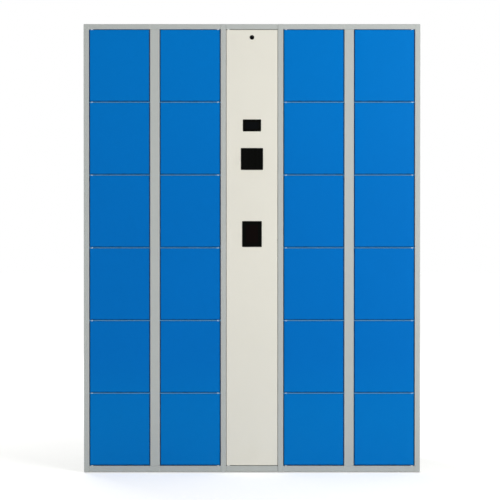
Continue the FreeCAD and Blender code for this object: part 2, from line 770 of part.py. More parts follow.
def control_deck(label, bottom, height, hinge_side, bolts):
    """A hollow deck of the control column, with the service door's hinge hole on the door's side."""
    body = new_body(label)
    plan = plan_sketch(body, bottom)
    add_rectangle(plan, "-control_half", "control_half", "0", "depth")
    block = pad(plan, height)
    round_edges(block, "bend_radius", level_front)
    hollow = plan_sketch(body, f"{bottom} + sheet")
    add_rectangle(hollow, "sheet - control_half", "control_half - sheet", "sheet", "depth - sheet")
    pocket(hollow, f"{height} - 2 * sheet", along=True)
    hole = plan_sketch(body, hinge_side)
    add_circle(hole, "service_pin_x", "service_pin_y", "pin_diameter")
    pocket(hole, "sheet", along=hinge_side == bottom)
    bolt_holes(body, bolts)
    single(body)


def control_back():
    """The control column's back panel: cable entry near the floor, vent slots higher up, a cable duct."""
    body = back_pan("control_back_panel", "0", "control_half")
    entry = front_sketch(body, "back_face")
    add_circle(entry, "0", "grommet_level", "grommet_hole")
    pocket(entry, "sheet")
    slot = front_sketch(body, "back_face", ("0", "vent_level"))
    add_centred(slot, "0", "0", "vent_width", "vent_height")
    vent = pocket(slot, "sheet")
    repeat(vent, row_of("Z_Axis", VENT_COUNT, f"{VENT_COUNT - 1} * vent_pitch"))
    group("control_back", [body, cable_duct()])


def cable_duct():
    """The duct beside the board and the power supply, with finger slots for the cables on both sides."""
    body = new_body("control_back_duct", "duct_x", "duct_start")
    front = "back_face - duct_depth"
    plan = plan_sketch(body)
    add_rectangle(plan, "-duct_width / 2", "duct_width / 2", front, "back_face")
    pad(plan, "duct_length")
    hollow = plan_sketch(body)
    add_rectangle(hollow, "duct_wall - duct_width / 2", "duct_width / 2 - duct_wall",
                  f"{front} + duct_wall", "back_face - duct_wall")
    pocket(hollow, "duct_length", along=True)
    slot = side_sketch(body, "0", ("0", f"(duct_length - {DUCT_SLOTS - 1} * duct_pitch) / 2"))
    add_rectangle(slot, f"{front} + 4 * duct_wall", "back_face - 8 * duct_wall",
                  "-duct_slot / 2", "duct_slot / 2")
    fingers = through(slot)
    repeat(fingers, row_of("Z_Axis", DUCT_SLOTS, f"{DUCT_SLOTS - 1} * duct_pitch"))
    return body


DEVICES = ("display", "keypad", "scanner")


def service_door():
    """The cream front of the control column: a tall folded pan with cut-outs for the devices."""
    leaf = new_body("service_door_leaf")
    fold_pan(leaf, ("-service_half", "service_half", "base_top + head_gap", "service_top"))
    hole = plan_sketch(leaf)
    add_circle(hole, "service_pin_x", "service_pin_y", "hinge_hole")
    through(hole)
    windows = front_sketch(leaf, "door_recess")
    for device in DEVICES:
        margin = "2 * (bezel_lap - fit_clearance)"
        add_centred(windows, "0", f"service_top - {device}_drop",
                    f"{device}_width - {margin}", f"{device}_height - {margin}")
    add_circle(windows, "0", "service_top - camera_drop", "camera_barrel + 2 * fit_clearance")
    pocket(windows, "door_sheet")
    lip_middle = "service_half - door_lip / 2"
    hook = strike("service_strike", "0", "service_middle", "service_strike_x", lip_middle)
    group("service_door", [leaf, hook])


def device_bezel(device):
    """A device: a bezel over the edge of its cut-out, its housing behind and a seat for its glass."""
    body = new_body(f"{device}_bezel", z=f"service_top - {device}_drop")
    rim = front_sketch(body)
    add_centred(rim, "0", "0", f"{device}_width", f"{device}_height")
    flange = pad(rim, "door_recess", backwards=True)
    round_edges(flange, "bezel_corner", lambda start, end: same(start.x, end.x) and same(start.z, end.z))
    housing = front_sketch(body, "door_recess")
    add_centred(housing, "0", "0", f"{device}_width - 2 * bezel_lap", f"{device}_height - 2 * bezel_lap")
    pad(housing, "device_depth", backwards=True)
    seat = front_sketch(body)
    add_centred(seat, "0", "0", f"{device}_width - 2 * bezel_rim", f"{device}_height - 2 * bezel_rim")
    pocket(seat, "glass_recess + glass_thickness")
    single(body)


def device_glass(device):
    """The dark glass in a device's bezel."""
    body = new_body(f"{device}_glass", z=f"service_top - {device}_drop")
    pane = front_sketch(body, "glass_recess")
    margin = "2 * (bezel_rim + fit_clearance)"
    add_centred(pane, "0", "0", f"{device}_width - {margin}", f"{device}_height - {margin}")
    pad(pane, "glass_thickness", backwards=True)
    single(body)


def camera():
    """The camera: a turned housing through the service door and a lens with a rounded edge."""
    housing = new_body("camera_housing", z="service_top - camera_drop")
    section = side_sketch(housing)
    seat = "lens_diameter / 2 + fit_clearance"
    seat_end = "glass_recess + lens_length"
    add_outline(section, (("0", seat), ("0", "camera_diameter / 2"), ("door_recess", "camera_diameter / 2"),
                          ("door_recess", "camera_barrel / 2"), ("camera_length", "camera_barrel / 2"),
                          ("camera_length", "0"), (seat_end, "0"), (seat_end, seat)))
    revolve(section, "H_Axis")
    single(housing)
    lens = new_body("camera_lens", z="service_top - camera_drop")
    section = side_sketch(lens)
    add_rectangle(section, "glass_recess", seat_end, "0", "lens_diameter / 2")
    glass = revolve(section, "H_Axis")
    doc.recompute()
    front = number("glass_recess")
    names = [f"Edge{index}" for index, edge in enumerate(glass.Shape.Edges, start=1)
             if edge.Curve.TypeId == "Part::GeomCircle" and same(edge.CenterOfMass.y, front)]
    rounded = lens.newObject("PartDesign::Fillet", "camera_lens_rounded")
    rounded.Base = (glass, names)
    rounded.setExpression("Radius", linked("lens_round"))
    single(lens)


def control_board():
    """The control board on stand-offs: processor, capacitors, lock relays and two terminal strips."""
    body = new_body("control_board", z="board_level")
    face = "back_face - standoff_height - board_thickness"
    plate = front_sketch(body, face)
    add_centred(plate, "0", "0", "board_width", "board_height")
    pad(plate, "board_thickness", backwards=True)
    feet = front_sketch(body, "back_face - standoff_height")
    for side in (-1, 1):
        for end in (-1, 1):
            add_circle(feet, f"{side} * (board_width / 2 - board_corner)",
                       f"{end} * (board_height / 2 - board_corner)", "standoff_diameter")
    pad(feet, "standoff_height", backwards=True)
    processor = front_sketch(body, face)
    add_centred(processor, "0", "board_height / 4", "processor_width", "processor_width")
    pad(processor, "processor_depth")
    can = front_sketch(body, face)
    add_circle(can, "0", "-board_height / 4", "capacitor_diameter")
    cylinder = pad(can, "capacitor_depth")
    repeat(cylinder, row_of("Z_Axis", CAPACITOR_COUNT, f"{CAPACITOR_COUNT - 1} * capacitor_pitch"))
    relay = front_sketch(body, face)
    add_centred(relay, "board_width / 4", f"-{RELAY_COUNT - 1} * relay_pitch / 2",
                "relay_width", "relay_width")
    block = pad(relay, "relay_depth")
    relays = row_of("Z_Axis", RELAY_COUNT, f"{RELAY_COUNT - 1} * relay_pitch")
    repeat(block, relays, BOTH_COLUMNS)
    strip_x = "board_width / 2 - terminal_width"
    strip = front_sketch(body, face)
    add_centred(strip, strip_x, "0", "terminal_width", "board_height - 4 * board_corner")
    bar = pad(strip, "terminal_depth")
    repeat(bar, BOTH_COLUMNS)
    clamp = front_sketch(body, f"{face} - terminal_depth")
    lowest = f"-{CLAMP_COUNT - 1} * clamp_pitch / 2"
    add_centred(clamp, strip_x, lowest, "terminal_width / 2", "clamp_pitch / 2")
    recess = pocket(clamp, "clamp_depth")
    clamps = row_of("Z_Axis", CLAMP_COUNT, f"{CLAMP_COUNT - 1} * clamp_pitch")
    repeat(recess, clamps, BOTH_COLUMNS)
    single(body)


def power_supply():
    """The power supply: a slotted case on a fixing flange, with a ribbed terminal strip at its foot."""
    body = new_body("power_supply", z="supply_level")
    flange = front_sketch(body, "back_face - sheet")
    add_centred(flange, "0", "0", "supply_width", "supply_height + 2 * supply_flange")
    pad(flange, "sheet", backwards=True)
    split = "supply_foot - supply_height / 2"
    case = front_sketch(body, "back_face - sheet - supply_depth")
    add_rectangle(case, "-supply_width / 2", "supply_width / 2", split, "supply_height / 2")
    pad(case, "supply_depth", backwards=True)
    slot = front_sketch(body, "back_face - sheet - supply_depth")
    lowest = f"supply_foot / 2 - {SUPPLY_SLOTS - 1} * supply_slot_pitch / 2"
    add_centred(slot, "0", lowest, "supply_slot_width", "supply_slot_height")
    vent = pocket(slot, "supply_slot_depth")
    repeat(vent, row_of("Z_Axis", SUPPLY_SLOTS, f"{SUPPLY_SLOTS - 1} * supply_slot_pitch"))
    strip = front_sketch(body, "back_face - sheet - terminal_depth")
    add_rectangle(strip, "-supply_width / 2", "supply_width / 2", "-supply_height / 2", split)
    pad(strip, "terminal_depth", backwards=True)
    rib = front_sketch(body, "back_face - sheet - terminal_depth")
    add_rectangle(rib, "-supply_width / 2", "rib_thickness - supply_width / 2", "-supply_height / 2", split)
    wall = pad(rib, "rib_depth")
    repeat(wall, row_of("X_Axis", SUPPLY_RIBS, "supply_width - rib_thickness"))
    single(body)


def cable_grommet():
    """The rubber ring that lines the cable entry, with a groove for the panel's edge."""
    body = new_body("cable_grommet", z="grommet_level")
    section = side_sketch(body)
    lip = "grommet_hole / 2 + grommet_rim"
    front_lip = "back_face - grommet_lip"
    back_lip = "back_face + sheet + grommet_lip"
    add_outline(section, ((front_lip, "grommet_bore / 2"), (front_lip, lip), ("back_face", lip),
                          ("back_face", "grommet_hole / 2"), ("back_face + sheet", "grommet_hole / 2"),
                          ("back_face + sheet", lip), (back_lip, lip), (back_lip, "grommet_bore / 2")))
    revolve(section, "H_Axis")
    single(body)


def levelling_feet():
    """The feet: a tapered pad with a stud through the base deck's lower sheet."""
    body = new_body("levelling_feet", LEFT)
    section = front_sketch(body, "foot_inset", ("foot_x", "0"))
    add_outline(section, (("0", "0"), ("foot_diameter / 2", "0"), ("foot_diameter / 2", "foot_height / 2"),
                          ("foot_top / 2", "foot_height"), ("stud_diameter / 2", "foot_height"),
                          ("stud_diameter / 2", "foot_height + stud_length"),
                          ("0", "foot_height + stud_length")))
    turned = revolve(section, "V_Axis")
    repeat(turned, row_of("Y_Axis", 2, "depth - 2 * foot_inset"), BOTH_COLUMNS, BOTH_CABINETS)
    single(body)


def hexagon(sketch, across, up):
    """A bolt head's or nut's outline, with two corners level with its middle."""
    corner = f"bolt_flats * {HEX_CORNER}"
    add_outline(sketch, ((f"{across} + {corner}", up), (f"{across} + {corner} / 2", f"{up} + bolt_flats / 2"),
                         (f"{across} - {corner} / 2", f"{up} + bolt_flats / 2"), (f"{across} - {corner}", up),
                         (f"{across} - {corner} / 2", f"{up} - bolt_flats / 2"),
                         (f"{across} + {corner} / 2", f"{up} - bolt_flats / 2")))
    return sketch


def joining_bolts():
    """The bolts and nuts that clamp each cabinet's decks to the control column's decks."""
    inner_face = "wall_inside - sheet - cabinet_centre"
    nut_face = "sheet - control_half"
    steps = (row_of("Y_Axis", 2, "depth - 2 * bolt_inset"), mirrored("YZ_Plane"))
    members = []
    for name, level in (("top", "top_bolts"), ("base", "base_bolts")):
        bolt = new_body(f"{name}_bolts", z=level)
        head = pad(hexagon(side_sketch(bolt, f"{inner_face} - bolt_head"), "bolt_inset", "0"), "bolt_head")
        circle = add_circle(side_sketch(bolt, inner_face), "bolt_inset", "0", "bolt_diameter")
        shank = pad(circle, f"{nut_face} + bolt_nut + bolt_tail - ({inner_face})")
        repeat([head, shank], *steps)
        nut = new_body(f"{name}_nuts", z=level)
        profile = hexagon(side_sketch(nut, nut_face), "bolt_inset", "0")
        add_circle(profile, "bolt_inset", "0", "bolt_diameter")
        repeat(pad(profile, "bolt_nut"), *steps)
        members += [bolt, nut]
    group("joining_bolts", members)


def build():
    """Make every piece."""
    fill_sheets()
    for name, centre, inner in (("left", LEFT, 1), ("right", RIGHT, -1)):
        side_panel(f"{name}_outer_side", centre, -inner, joined=False)
        side_panel(f"{name}_inner_side", centre, inner, joined=True)
        lock_channel(f"{name}_lock_channel", centre)
        top_deck(f"{name}_top", centre)
        base_deck(f"{name}_base", centre)
        cabinet_back(f"{name}_back", centre)
        shelves(f"{name}_shelves", centre)
    partitions()
    crossbars()
    doors()
    locks()
    hinge_pins()
    hinge_bushes()
    control_deck("control_top", "top_start", "top_rail", "top_start", "top_bolts")
    control_deck("control_base", "foot_height", "base_rail", "base_top", "base_bolts")
    control_back()
    service_door()
    for device in DEVICES:
        device_bezel(device)
        device_glass(device)
    camera()
    control_board()
    power_supply()
    cable_grommet()
    levelling_feet()
    joining_bolts()
    doc.recompute()


def check():
    """Stop if an object failed, a cut removed nothing or a node's shape is not sound."""
    for item in doc.Objects:
        if "Invalid" in item.State or "Error" in item.State:
            raise RuntimeError(f"{item.Label} failed: {item.State}")
        if item.TypeId == "PartDesign::Pocket" and item.Shape.Volume >= item.BaseFeature.Shape.Volume:
            raise RuntimeError(f"{item.Label} cut nothing")
    for label, item in nodes.items():
        if item.Shape.isNull() or not item.Shape.isValid():
            raise RuntimeError(f"{label} has no sound shape")


def write():
    """Write each node's solids to its own file."""
    os.makedirs("parts", exist_ok=True)
    for label, item in nodes.items():
        item.Shape.exportStep(f"parts/{label}.step")
        print(f"{label}: {len(item.Shape.Solids)} solids, {item.Shape.Volume / 1000:.1f} cm3")
    print(f"{len(nodes)} nodes")


build()
check()
write()
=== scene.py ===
# %% [markdown]
# This lesson takes a smart locker from bare solids to a finished portrait. The locker is two steel
# cabinets of twelve doors each, with a narrow control column between them. Its solids come from the
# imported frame, in metres and already in their places, so nothing here moves them. What is left to do is
# to aim a camera as the photograph does, to light the locker, to give every surface the finish of the
# real material, and to fit the small buffers, screws and rivets that the solids leave out.

# %% Load the frame
import math

import bmesh
import bpy
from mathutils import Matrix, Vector


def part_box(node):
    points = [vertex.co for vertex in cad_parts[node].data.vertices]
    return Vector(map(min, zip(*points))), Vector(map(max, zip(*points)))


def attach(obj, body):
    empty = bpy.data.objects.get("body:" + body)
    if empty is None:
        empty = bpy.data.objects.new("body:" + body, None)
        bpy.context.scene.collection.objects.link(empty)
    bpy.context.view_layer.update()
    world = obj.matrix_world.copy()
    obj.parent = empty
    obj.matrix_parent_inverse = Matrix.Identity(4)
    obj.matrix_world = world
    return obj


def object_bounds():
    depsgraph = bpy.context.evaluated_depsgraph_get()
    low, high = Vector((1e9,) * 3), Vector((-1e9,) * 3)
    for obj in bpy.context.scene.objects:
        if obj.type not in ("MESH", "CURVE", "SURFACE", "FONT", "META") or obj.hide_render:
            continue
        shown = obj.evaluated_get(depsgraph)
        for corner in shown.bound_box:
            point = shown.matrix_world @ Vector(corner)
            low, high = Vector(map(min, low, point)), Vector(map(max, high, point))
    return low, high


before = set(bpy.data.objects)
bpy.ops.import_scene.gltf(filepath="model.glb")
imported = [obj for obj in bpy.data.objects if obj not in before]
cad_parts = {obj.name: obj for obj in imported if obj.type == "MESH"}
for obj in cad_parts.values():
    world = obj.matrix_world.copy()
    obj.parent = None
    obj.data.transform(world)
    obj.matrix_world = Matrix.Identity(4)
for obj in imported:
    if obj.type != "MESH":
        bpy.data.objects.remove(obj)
cad_low, cad_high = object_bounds()
cad_middle = (cad_low + cad_high) / 2
cad_size = cad_high - cad_low
print("locker:", [round(side, 3) for side in cad_size], "m,", len(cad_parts), "nodes")

# %% [markdown]
# Every later step needs the same few places: the middle of each cabinet, the door rows, the ledge that
# the doors close against. They are read from the boxes of the solids themselves. Typing them in again
# would be quicker, but then a change of size in the solids would leave the screws hanging in the air.

# %% Measure the solids
MILLIMETRE = 0.001
ROWS, COLUMNS = 6, 4
BACK_SHEET = 1 * MILLIMETRE

low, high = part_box("left_lock_channel")
cabinet_middle = -(low.x + high.x) / 2
land_half = (high.x - low.x) / 2
row_start, row_end = low.z, high.z
row_pitch = (row_end - row_start) / ROWS

low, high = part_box("left_shelves")
ledge_y = low.y
back_sheet_y = high.y + BACK_SHEET

low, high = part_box("door_01")
door_near = -cabinet_middle - high.x
door_far = -cabinet_middle - low.x
door_front, door_back = low.y, high.y
head_gap = row_end - high.z


def door_places():
    """Each door's name with its side of the lock channel, its cabinet's middle and its row's foot."""
    for index in range(ROWS * COLUMNS):
        row, column = divmod(index, COLUMNS)
        side = -1 if column % 2 == 0 else 1
        middle = -cabinet_middle if column < COLUMNS / 2 else cabinet_middle
        yield f"door_{index + 1:02d}", side, middle, row_start + (ROWS - 1 - row) * row_pitch


print("cabinet middles at", round(cabinet_middle, 4), "m, rows of", round(row_pitch, 4), "m")

# %% [markdown]
# The photograph looks straight at the front from a fair distance. The locker is a hair wider at its top
# than at its foot there, so the camera looks down a little. Four edges of the outline, read from the
# photograph in pixels, fix the rest: they give the scale on the front face, and the point of the locker
# that lies in the middle of the picture. Looking down makes the upper half a little larger than the
# lower one, and `rise` moves the aim up by as much.

# %% Aim the camera
PHOTO_SIZE = 500
PHOTO_LEFT, PHOTO_RIGHT = 83.98, 419.94
PHOTO_TOP, PHOTO_BOTTOM = 23.65, 472.95
VIEW_DISTANCE = 6.0
LOOK_DOWN = math.radians(0.6)

scale_across = cad_size.x / (PHOTO_RIGHT - PHOTO_LEFT)
scale_up = cad_size.z / (PHOTO_BOTTOM - PHOTO_TOP)
metres_per_pixel = (scale_across + scale_up) / 2
rise = (cad_size.z / 2) ** 2 * math.sin(LOOK_DOWN) / VIEW_DISTANCE
aim = Vector((
    cad_middle.x + (PHOTO_SIZE - PHOTO_LEFT - PHOTO_RIGHT) / 2 * metres_per_pixel,
    cad_low.y,
    cad_middle.z - (PHOTO_SIZE - PHOTO_TOP - PHOTO_BOTTOM) / 2 * metres_per_pixel + rise,
))
towards_camera = Vector((0, -math.cos(LOOK_DOWN), math.sin(LOOK_DOWN)))

camera = bpy.data.objects.new("camera", bpy.data.cameras.new("camera"))
bpy.context.scene.collection.objects.link(camera)
camera.location = aim + VIEW_DISTANCE * towards_camera
camera.rotation_euler = (-towards_camera).to_track_quat("-Z", "Y").to_euler()
camera.data.lens = camera.data.sensor_width * VIEW_DISTANCE / (PHOTO_SIZE * metres_per_pixel)
bpy.context.scene.camera = camera
print("lens", round(camera.data.lens, 1), "mm, one pixel is", round(metres_per_pixel / MILLIMETRE, 2), "mm")

# %% [markdown]
# A finish is a net of nodes, and wiring it by hand hides what it works out. The small class below wraps
# one output socket, so that `1 - mask` or `height * 2` adds the Math node by itself. Colours and places
# need their own kinds of node, because a Math node would turn a colour grey.

# %% Wrap the sockets
class Wire:
    """One output socket. Sums on a number add Math nodes, and sums on a place add Vector Math nodes."""

    def __init__(self, net, socket):
        self.net = net
        self.socket = socket

    def other(self, output):
        """Another output of the same node."""
        return Wire(self.net, self.socket.node.outputs[output])

    def sum(self, operation, first, second):
        """The node that works out one sum."""
        kind = "ShaderNodeVectorMath" if self.socket.type == "VECTOR" else "ShaderNodeMath"
        return self.net.node(kind, {"operation": operation}, {0: first, 1: second})

    def __add__(self, other):
        return self.sum("ADD", self, other)

    def __radd__(self, other):
        return self.sum("ADD", other, self)

    def __sub__(self, other):
        return self.sum("SUBTRACT", self, other)

    def __rsub__(self, other):
        return self.sum("SUBTRACT", other, self)

    def __mul__(self, other):
        return self.sum("MULTIPLY", self, other)

    def __rmul__(self, other):
        return self.sum("MULTIPLY", other, self)

    def __mod__(self, other):
        return self.sum("FLOORED_MODULO", self, other)

    def __gt__(self, other):
        return self.sum("GREATER_THAN", self, other)

    def __lt__(self, other):
        return self.sum("LESS_THAN", self, other)

    def __abs__(self):
        return self.sum("ABSOLUTE", self, 0.0)


print("a wire adds, subtracts, multiplies, repeats and compares")

# %% [markdown]
# Whatever is not a sum comes from one method, `node`: its type, its settings, and what goes into its
# sockets. The settings go first, since a node's sockets can change with them. A few short methods beside
# it name the nodes that come up again and again: a mix of colours, a smooth ramp, a distance.

# %% Build nets of nodes
class Net:
    """A net of nodes under construction, in a material or in the world."""

    def __init__(self, tree):
        self.tree = tree

    def node(self, kind, settings=None, sockets=None, output=0):
        """Add one node: settings first, then values or links for its sockets; gives one output."""
        made = self.tree.nodes.new(kind)
        for name, value in (settings or {}).items():
            setattr(made, name, value)
        for key, value in (sockets or {}).items():
            self.feed(made.inputs[key], value)
        return Wire(self, made.outputs[output])

    def feed(self, socket, value):
        """Link a wire to a socket, or set the socket's own value."""
        if isinstance(value, Wire):
            self.tree.links.new(value.socket, socket)
        else:
            socket.default_value = value

    def mix(self, first, second, share):
        """A colour between two colours."""
        return self.node("ShaderNodeMix", {"data_type": "RGBA"}, {0: share, 6: first, 7: second}, 2)

    def ramp(self, value, start, end):
        """A number that climbs smoothly from 0 at start to 1 at end, and stays there."""
        return self.node("ShaderNodeMapRange", {"interpolation_type": "SMOOTHSTEP"},
                         {0: value, 1: start, 2: end, 3: 0.0, 4: 1.0})

    def least(self, first, second):
        """The smaller of two numbers."""
        return self.node("ShaderNodeMath", {"operation": "MINIMUM"}, {0: first, 1: second})

    def distance(self, across, up):
        """How far a point is from the middle that two numbers are measured from."""
        return self.node("ShaderNodeMath", {"operation": "SQRT"}, {0: across * across + up * up})

    def seen_directly(self):
        """1 on rays from the camera, a mirror or glass, and 0 on rays of light."""
        ray = self.node("ShaderNodeLightPath", output="Is Camera Ray")
        seen = ray + ray.other("Is Glossy Ray") + ray.other("Is Transmission Ray")
        return self.ramp(seen, 0.0, 1.0)


print("a net mixes, ramps, measures and asks what a ray sees")

# %% [markdown]
# A finish is a net with a shader at its end. It also knows the place of each point on its solid, so that a
# pattern can follow the real edges of a door or a screen. Its noise is given in grains to the metre, so
# that a grain keeps its real size on every piece.

# %% Start a finish
class Finish(Net):
    """A material: its shader, the place of a point on the solid, and noise at real scale."""

    def __init__(self, name):
        self.material = bpy.data.materials.new(name)
        self.material.use_nodes = True
        super().__init__(self.material.node_tree)
        self.shader = self.tree.nodes["Principled BSDF"]
        self.place = self.node("ShaderNodeTexCoord", output="Object")
        part = self.node("ShaderNodeSeparateXYZ", {}, {0: self.place})
        self.x, self.y, self.z = (part.other(axis) for axis in "XYZ")

    def set(self, **values):
        """Set or link sockets of the shader by their names, with _ for a space."""
        for name, value in values.items():
            self.feed(self.shader.inputs[name.replace("_", " ")], value)

    def noise(self, per_metre, detail=2.0, stretch=(1, 1, 1)):
        """Soft noise with about that many grains to the metre."""
        return self.node("ShaderNodeTexNoise", {}, {
            "Vector": self.place * stretch, "Scale": float(per_metre), "Detail": float(detail)})

    def bump(self, height, distance, strength=1.0):
        """Relief: a height from 0 to 1 that stands for a distance in metres."""
        return self.node("ShaderNodeBump", {}, {
            "Height": height, "Distance": distance, "Strength": strength})

    def within(self, name, margin):
        """1 on the front of a node, further than the margin from its four edges, and 0 elsewhere."""
        low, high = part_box(name)
        middle, half = (low + high) / 2, (high - low) / 2
        across = abs(self.x - middle.x) < half.x - margin
        return across * (abs(self.z - middle.z) < half.z - margin)


def dress(finish, *names):
    """Put one finish on nodes of the frame."""
    for name in names:
        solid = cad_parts[name]
        for slot in solid.material_slots:
            slot.material = finish.material
        if not solid.material_slots:
            solid.data.materials.append(finish.material)


print("a finish reads places, grains and edges, and dresses nodes by name")

# %% [markdown]
# Colours are easiest to judge as a screen shows them, from 0 to 255, but a shader works with amounts of
# light. One function turns the first into the second, and another makes a colour lighter or darker.

# %% Read colours
SCREEN_WHITE = 255


def paint(red, green, blue):
    """A colour as a paint chip is read off a screen, made linear for the shader."""
    def linear(part):
        """The standard curve of screens, backwards."""
        part /= SCREEN_WHITE
        return part / 12.92 if part <= 0.04045 else ((part + 0.055) / 1.055) ** 2.4
    return linear(red), linear(green), linear(blue), 1.0


def shade(colour, times):
    """The same colour, lighter or darker."""
    return tuple(min(part * times, 1.0) for part in colour[:3]) + (1.0,)


WHITE, BLACK = (1, 1, 1, 1), (0, 0, 0, 1)
print("a middle grey is", [round(part, 3) for part in paint(128, 128, 128)])

# %% [markdown]
# The photograph looks lit by a broad lamp at the upper right: the right side is about a tenth brighter than
# the left, and there are no hard shadows. One large lamp there, a weaker one at the left and an even glow
# from all round give the same, and a lamp behind the locker lights its back for the other views. The glow
# is kept low, so that each paint comes out about as it is written, and only the camera, mirrors and glass
# see the room as plain white.

# %% Light the room
ROOM_GLOW = 0.4
LAMPS = {
    "key_lamp": {"place": (2.5, -2.9, 2.0), "side": 1.8, "power": 72.0},
    "fill_lamp": {"place": (-3.0, -3.2, 1.0), "side": 2.2, "power": 16.0},
    "back_lamp": {"place": (-2.2, 3.6, 3.0), "side": 2.2, "power": 64.0},
}


def add_lamp(name, place, side, power):
    """A square soft lamp aimed at the middle of the locker."""
    lamp = bpy.data.objects.new(name, bpy.data.lights.new(name, "AREA"))
    bpy.context.scene.collection.objects.link(lamp)
    lamp.data.size = side
    lamp.data.energy = power
    lamp.location = place
    lamp.rotation_euler = (cad_middle - lamp.location).to_track_quat("-Z", "Y").to_euler()


for name, settings in LAMPS.items():
    add_lamp(name, **settings)

world = bpy.data.worlds.new("white_room")
bpy.context.scene.world = world
world.use_nodes = True
room = Net(world.node_tree)
background = world.node_tree.nodes["Background"]
background.inputs["Color"].default_value = WHITE
room.feed(background.inputs["Strength"], ROOM_GLOW + (1 - ROOM_GLOW) * room.seen_directly())

bpy.context.scene.view_settings.view_transform = "Standard"
print("lamps:", [lamp.name for lamp in bpy.data.lights])

# %% [markdown]
# The locker stands on a plain pale floor that runs into the white background without a line. A white
# cloth would need far too much light to look white, so the floor glows a little by itself, on the rays
# that see it directly. The rest of its brightness is real light. Near the locker, where the lamps reach,
# the glow is weaker, so the soft shadow stays, and under the locker a fifth of the glow is left out, a
# painted contact shadow for the thin dark line below the base.

# %% Lay the floor
FLOOR_SIZE = 60.0
FLOOR_WHITE = paint(254, 254, 252)
NEAR_GLOW, FAR_GLOW, SHADOW = 0.38, 0.62, 0.2
NEAR, FAR = 0.8, 3.0

bpy.ops.object.select_all(action="DESELECT")
bpy.ops.mesh.primitive_plane_add(size=FLOOR_SIZE, location=(0, 0, cad_low.z))
floor = bpy.context.object
floor.name = "floor"

pale_floor = Finish("pale_floor")
away = pale_floor.ramp(pale_floor.distance(pale_floor.x, pale_floor.y), NEAR, FAR)
glow = pale_floor.mix(shade(WHITE, NEAR_GLOW), shade(WHITE, FAR_GLOW), away)
covered = (abs(pale_floor.x) < cad_high.x) * (abs(pale_floor.y) < cad_high.y)
# painted contact shadow: less glow on the floor under the locker
glowing = pale_floor.seen_directly() * (1 - SHADOW * covered)
pale_floor.set(Base_Color=FLOOR_WHITE, Roughness=0.9, Specular_IOR_Level=0.0,
               Emission_Color=pale_floor.mix(BLACK, glow, glowing), Emission_Strength=1.0)
floor.data.materials.append(pale_floor.material)
print("floor:", FLOOR_SIZE, "m wide")

# %% [markdown]
# Powder coat is dry paint that is dusted on to sheet steel and baked. Close up it has a fine orange-peel
# relief and hair-fine scratches, from further off it is a touch uneven, and near the floor it holds dust
# and scuffs from mops and shoes. One class makes it in any colour. A picture of a coat would repeat and
# would need unfolding, and noise in the solid's own place does neither.

# %% Mix the powder coat
DUST, DUSTY_HEIGHT = paint(150, 144, 132), 0.28
CLOUD_GRAINS, SPECKLE_GRAINS, PEEL_GRAINS = 2.5, 900, 380
HAIR_GRAINS, SMEAR_GRAINS = 35, 14
DRAWN_ACROSS, DRAWN_DOWN = (1, 1, 14), (1, 1, 0.35)
PEEL_DEPTH, PEEL_STRENGTH = 0.1 * MILLIMETRE, 0.5
COAT_DARKER, COAT_LIGHTER = 0.95, 1.05
RETONED_SMOOTHER = 0.12


class PowderCoat(Finish):
    """A sprayed and baked coat: uneven tone, fine peel, scratches, dust and scuffs towards the floor."""

    def __init__(self, name, colour, roughness, gloss, dusty=0.07):
        super().__init__(name)
        cloud = self.noise(CLOUD_GRAINS, detail=3)
        speckle = self.noise(SPECKLE_GRAINS, detail=1)
        peel = self.noise(PEEL_GRAINS, detail=1)
        hairs = self.ramp(self.noise(HAIR_GRAINS, detail=5, stretch=DRAWN_ACROSS), 0.64, 0.72)
        foot = 1 - self.ramp(self.z, 0.0, DUSTY_HEIGHT)
        smears = self.ramp(self.noise(SMEAR_GRAINS, detail=4, stretch=DRAWN_DOWN), 0.5, 0.75)
        tone = self.mix(shade(colour, COAT_DARKER), shade(colour, COAT_LIGHTER), 0.7 * cloud + 0.3 * speckle)
        self.tone = self.mix(tone, DUST, dusty * foot * (0.4 + smears))
        self.dullness = roughness + 0.10 * cloud + 0.10 * foot * smears - 0.06 * hairs
        self.set(Base_Color=self.tone, Roughness=self.dullness, Specular_IOR_Level=gloss,
                 Normal=self.bump(peel - 0.4 * hairs, PEEL_DEPTH, PEEL_STRENGTH))

    def retone(self, colour, share):
        """Mix the coat towards another tone, for real wear or for painted light and shade, and polish it
        there.
        """
        self.tone = self.mix(self.tone, colour, share)
        self.dullness = self.dullness - RETONED_SMOOTHER * share
        self.set(Base_Color=self.tone, Roughness=self.dullness)


print("powder coat: dusty below", DUSTY_HEIGHT, "m")

# %% [markdown]
# The posts, lock bars, rails, walls and shelves are one grey. Along the upright corners of the front the
# coat is painted a little lighter and smoother in patches, a painted highlight where the rounded bends catch
# the light.
# The corners could be found from the bend of the surface, but a solid made of loose triangles does not give
# that, so the distance to the known lines of the front is used: the bar's corners, the opening's edge and
# the outside.

# %% Paint the frame
GREY, HIGHLIGHT_GREY = paint(189, 193, 190), paint(206, 209, 206)
CORNER_BAND = 2.5 * MILLIMETRE
HIGHLIGHT_GRAINS = 45
CABINET_PIECES = ("outer_side", "inner_side", "lock_channel", "top", "base", "back", "shelves")
FRAME_NODES = [f"{side}_{piece}" for side in ("left", "right") for piece in CABINET_PIECES]
FRAME_NODES += ["column_partitions", "door_crossbars", "control_top", "control_base", "control_back"]

low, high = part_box("left_outer_side")
post_near = -cabinet_middle - high.x
cabinet_half = -cabinet_middle - low.x
bar_half = door_near - (post_near - door_far)

